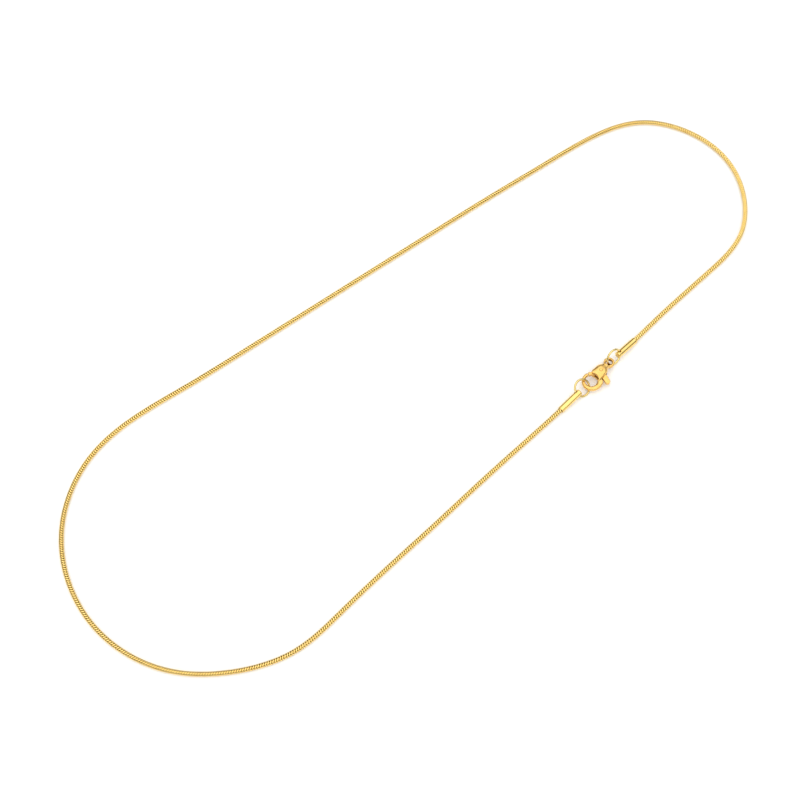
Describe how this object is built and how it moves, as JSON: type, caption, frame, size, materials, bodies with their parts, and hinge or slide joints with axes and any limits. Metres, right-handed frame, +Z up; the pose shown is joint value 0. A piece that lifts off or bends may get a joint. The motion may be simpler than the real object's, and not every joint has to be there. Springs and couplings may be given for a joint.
{
  "type": "snake chain necklace",
  "caption": "Round snake chain necklace lying closed in a long loop, with drilled tube end caps, jump rings and a lobster clasp with a sprung lever.",
  "frame": {"origin": "middle of the necklace's bounding box, on the surface it lies on", "axes": "+X along the long axis of the loop, from the wide bend towards the narrow one; +Y across it, away from the clasp; +Z up"},
  "size_m": [0.1941, 0.07, 0.0042],
  "materials": {
    "gold_chain": "fine links, bright yellow gold plating",
    "gold_findings": "polished yellow gold plating"
  },
  "bodies": {
    "necklace": {"snake_chain": "gold_chain", "end_cap_a": "gold_findings", "end_cap_b": "gold_findings", "jump_ring_a": "gold_findings", "jump_ring_b": "gold_findings", "clasp_body": "gold_findings", "lever_pin": "gold_findings"},
    "lever": {"clasp_lever": "gold_findings"}
  },
  "joints": [
    {"name": "lever_hinge", "type": "hinge", "parent": "necklace", "child": "lever", "pos_m": [0.0317, -0.02655, 0.0014], "axis": [0, 0, 1], "range_deg": [0, 30], "stiffness_Nm_per_rad": 0.0006, "springref_deg": -28.65}
  ]
}
